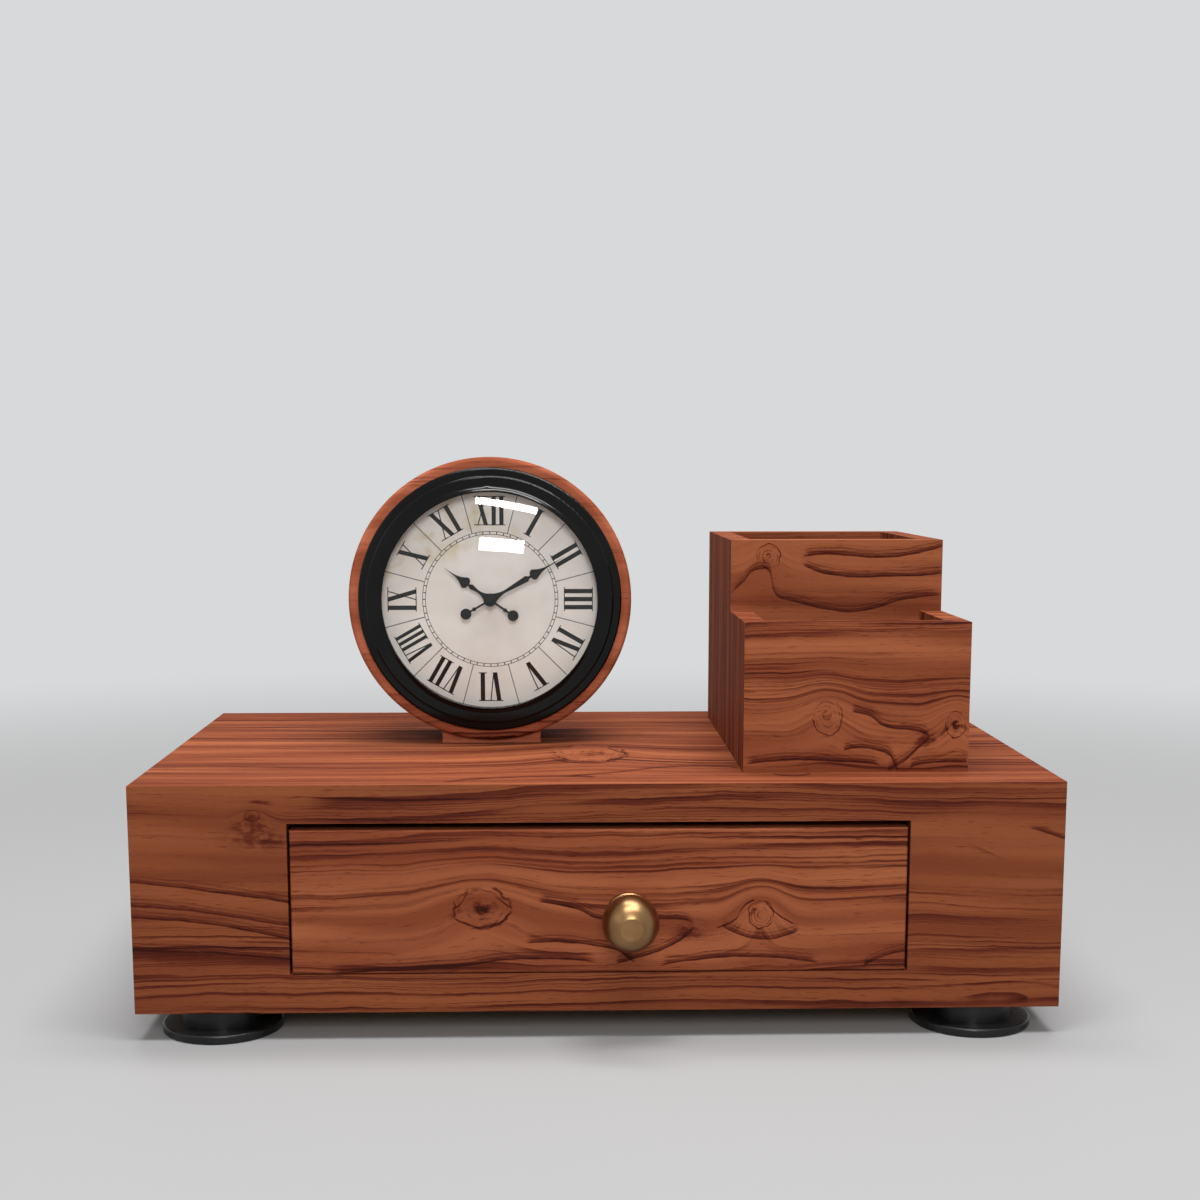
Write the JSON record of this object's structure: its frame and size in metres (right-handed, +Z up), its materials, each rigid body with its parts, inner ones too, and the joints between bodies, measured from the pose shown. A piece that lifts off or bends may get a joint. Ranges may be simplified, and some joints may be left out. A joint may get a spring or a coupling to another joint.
{
  "type": "desk organizer with drawer",
  "caption": "Low wooden desk case on round feet with a sliding drawer, carrying a round dial clock in a cradle and a stepped pen holder on its top.",
  "frame": {"origin": "on the floor, below the middle of the bounding box", "axes": "+Z up, front with the drawer towards -Y, +X to the right along the case's width"},
  "size_m": [0.32, 0.197, 0.2001],
  "materials": {
    "case_wood": "satin oiled, red-brown, dark streaks",
    "drawer_wood": "satin oiled, red-brown, dark streaks",
    "pen_wood": "satin oiled, red-brown, dark streaks",
    "clock_wood": "satin oiled, red-brown, dark streaks",
    "inner_wood": "plain sanded light wood",
    "panel_wood": "plain sanded plywood",
    "foot_black": "satin black",
    "knob_brass": "satin",
    "screw_steel": "turned",
    "bezel_black": "satin black",
    "ring_black": "moulded",
    "clock_glass": "clear, domed",
    "dial_enamel": "matte off-white, a little aged",
    "hand_black": "satin black",
    "movement_plastic": "moulded",
    "gear_plastic": "moulded",
    "arbor_brass": "turned",
    "module_plastic": "plain",
    "battery_sleeve": "plain sleeve, no print",
    "contact_steel": "plated spring steel"
  },
  "bodies": {
    "base": {"case_front": "case_wood", "case_top": "case_wood", "case_left_side": "case_wood", "case_right_side": "case_wood", "pen_left_side": "pen_wood", "pen_right_side": "pen_wood", "pen_front": "pen_wood", "pen_back": "pen_wood", "pen_divider": "pen_wood", "pen_floor": "pen_wood", "clock_drum": "clock_wood", "clock_cradle": "clock_wood", "drawer_runner_left": "inner_wood", "drawer_runner_right": "inner_wood", "drawer_kicker_left": "inner_wood", "drawer_kicker_right": "inner_wood", "case_back": "panel_wood", "case_bottom": "panel_wood", "foot_front_left": "foot_black", "foot_front_right": "foot_black", "foot_rear_left": "foot_black", "foot_rear_right": "foot_black", "foot_screws": "screw_steel", "case_bottom_screws": "screw_steel", "case_back_screws": "screw_steel", "pen_holder_screws": "screw_steel", "clock_screws": "screw_steel", "clock_bezel": "bezel_black", "glass_spacer": "ring_black", "dial_retaining_ring": "ring_black", "clock_glass": "clock_glass", "clock_dial": "dial_enamel", "movement_case": "movement_plastic", "movement_plate": "movement_plastic", "drive_module": "module_plastic", "battery": "battery_sleeve", "battery_contacts": "contact_steel"},
    "drawer": {"drawer_front": "drawer_wood", "drawer_left_side": "inner_wood", "drawer_right_side": "inner_wood", "drawer_back": "inner_wood", "drawer_bottom": "panel_wood", "drawer_knob": "knob_brass", "knob_screw": "screw_steel", "drawer_stop_left": "inner_wood", "drawer_stop_right": "inner_wood", "stop_screw_left": "screw_steel", "stop_screw_right": "screw_steel"},
    "minute_train": {"minute_hand": "hand_black", "minute_arbor": "arbor_brass", "hand_cap": "hand_black"},
    "hour_train": {"hour_hand": "hand_black", "hour_wheel": "gear_plastic"},
    "setting_train": {"minute_wheel": "gear_plastic", "set_knob": "movement_plastic"}
  },
  "joints": [
    {"name": "drawer_slide", "type": "slide", "parent": "base", "child": "drawer", "axis": [0, -1, 0], "range_m": [0, 0.11]},
    {"name": "minute_turn", "type": "hinge", "parent": "base", "child": "minute_train", "pos_m": [-0.03984, 0.0095, 0.1457], "axis": [0, 1, 0], "continuous": true},
    {"name": "hour_turn", "type": "hinge", "parent": "base", "child": "hour_train", "pos_m": [-0.03984, 0.0095, 0.1457], "axis": [0, 1, 0], "continuous": true},
    {"name": "setting_turn", "type": "hinge", "parent": "base", "child": "setting_train", "pos_m": [-0.03984, 0.0095, 0.1582], "axis": [0, 1, 0], "continuous": true}
  ],
  "couplings": [
    {"joint": "hour_turn", "follows": "minute_turn", "ratio": 0.083333},
    {"joint": "setting_turn", "follows": "minute_turn", "ratio": -0.33333}
  ]
}
